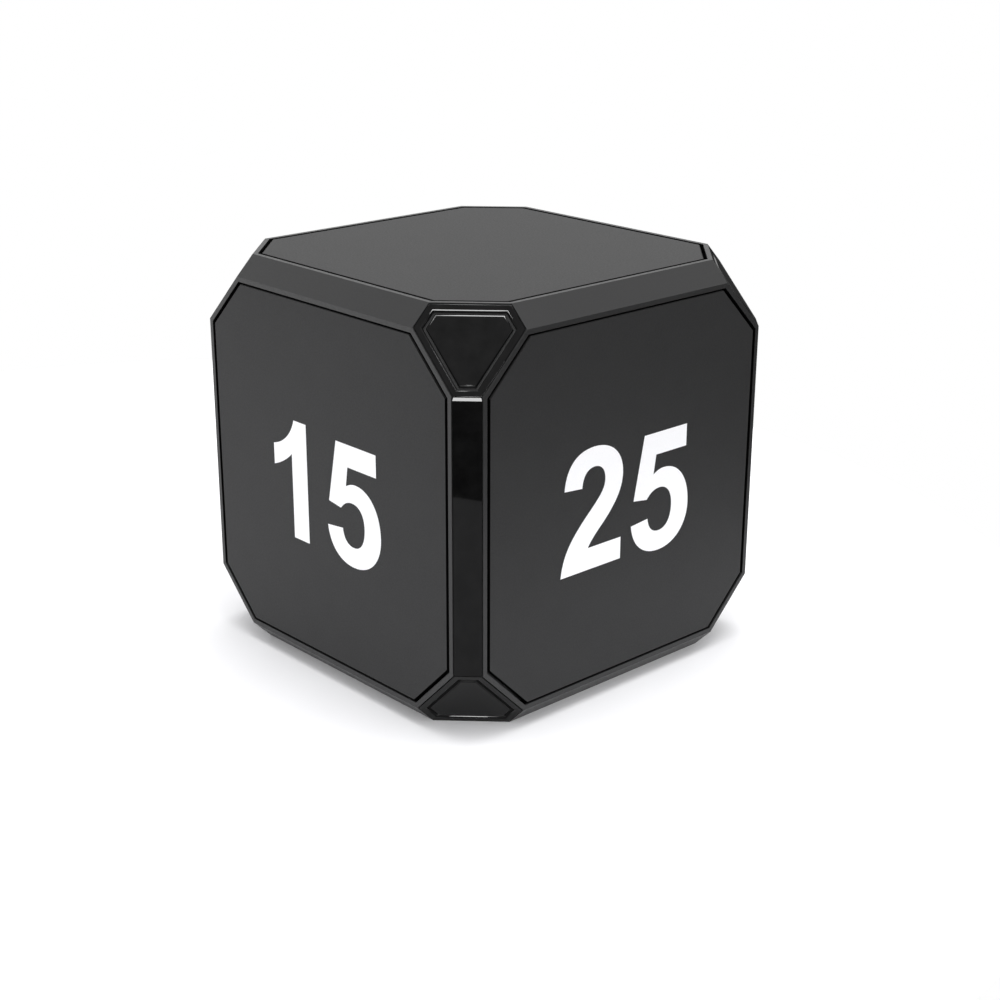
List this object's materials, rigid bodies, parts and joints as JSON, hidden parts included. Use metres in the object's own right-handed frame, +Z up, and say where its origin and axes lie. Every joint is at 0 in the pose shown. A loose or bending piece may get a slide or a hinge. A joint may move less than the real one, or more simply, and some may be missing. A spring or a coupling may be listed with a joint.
{
  "type": "flip cube timer",
  "caption": "Black cube countdown timer with numbered panels in rims, bevelled edges and glossy stepped corner caps; set it on a face to start.",
  "frame": {"origin": "middle of the base, on the plane of the base rim that it stands on", "axes": "+Z up towards the blank battery cover; -Y is the face with number 15 and +X the face with number 25; the display faces -Z"},
  "size_m": [0.06, 0.06, 0.06],
  "materials": {
    "satin_black": "satin",
    "panel_black": "matte",
    "gloss_black": "gloss",
    "inner_plastic": "satin",
    "clear_plastic": "polished",
    "display_glass": "gloss",
    "zebra_rubber": "matte",
    "board_green": "satin",
    "epoxy_black": "satin",
    "steel": "satin",
    "brass": "satin",
    "cell_jacket": "satin",
    "lead_red": "satin",
    "lead_black": "satin",
    "knob_grey": "satin",
    "ink_white": "matte"
  },
  "bodies": {
    "case": {"battery_1": "cell_jacket", "battery_2": "cell_jacket", "battery_box": "inner_plastic", "battery_box_screw_1": "steel", "battery_box_screw_2": "steel", "battery_lead_black": "lead_black", "battery_lead_red": "lead_red", "battery_link_plate": "steel", "battery_spring_1": "steel", "battery_spring_2": "steel", "board_screw_1": "steel", "board_screw_2": "steel", "buzzer_case": "epoxy_black", "buzzer_disc": "brass", "case_screw_1": "steel", "case_screw_2": "steel", "case_screw_3": "steel", "case_screw_4": "steel", "chassis_plate": "inner_plastic", "contact_plate_neg": "steel", "contact_plate_pos": "steel", "controller_chip": "epoxy_black", "corner_cap_base_1": "gloss_black", "corner_cap_base_2": "gloss_black", "corner_cap_base_3": "gloss_black", "corner_cap_base_4": "gloss_black", "corner_cap_top_1": "gloss_black", "corner_cap_top_2": "gloss_black", "corner_cap_top_3": "gloss_black", "corner_cap_top_4": "gloss_black", "crystal": "steel", "display_panel": "panel_black", "display_window": "clear_plastic", "edge_strip_1": "gloss_black", "edge_strip_2": "gloss_black", "edge_strip_3": "gloss_black", "edge_strip_4": "gloss_black", "housing": "satin_black", "lcd_glass": "display_glass", "lcd_holder": "inner_plastic", "main_board": "board_green", "panel_15": "panel_black", "panel_25": "panel_black", "panel_45": "panel_black", "panel_5": "panel_black", "power_switch_body": "inner_plastic", "sound_switch_body": "inner_plastic", "tilt_a_base": "inner_plastic", "tilt_a_can": "steel", "tilt_b_base": "inner_plastic", "tilt_b_can": "steel", "tilt_c_base": "inner_plastic", "tilt_c_can": "steel", "zebra_strip": "zebra_rubber"},
    "battery_cover": {"battery_cover": "panel_black"},
    "power_knob": {"power_switch_knob": "knob_grey"},
    "sound_knob": {"sound_switch_knob": "knob_grey"},
    "tilt_ball_a": {"tilt_a_ball": "steel"},
    "tilt_ball_b": {"tilt_b_ball": "steel"},
    "tilt_ball_c": {"tilt_c_ball": "steel"}
  },
  "joints": [
    {"name": "battery_cover_lift", "type": "slide", "parent": "case", "child": "battery_cover", "axis": [0, 0, 1], "range_m": [0, 0.03]},
    {"name": "power_switch_slide", "type": "slide", "parent": "case", "child": "power_knob", "axis": [1, 0, 0], "range_m": [0, 0.002]},
    {"name": "sound_switch_slide", "type": "slide", "parent": "case", "child": "sound_knob", "axis": [1, 0, 0], "range_m": [0, 0.004]},
    {"name": "tilt_a_roll", "type": "slide", "parent": "case", "child": "tilt_ball_a", "axis": [0.7071, 0.7071, 0], "range_m": [0, 0.0024]},
    {"name": "tilt_b_roll", "type": "slide", "parent": "case", "child": "tilt_ball_b", "axis": [0.7071, -0.7071, 0], "range_m": [0, 0.0024]},
    {"name": "tilt_c_roll", "type": "slide", "parent": "case", "child": "tilt_ball_c", "axis": [0, 0, 1], "range_m": [0, 0.0024]}
  ]
}
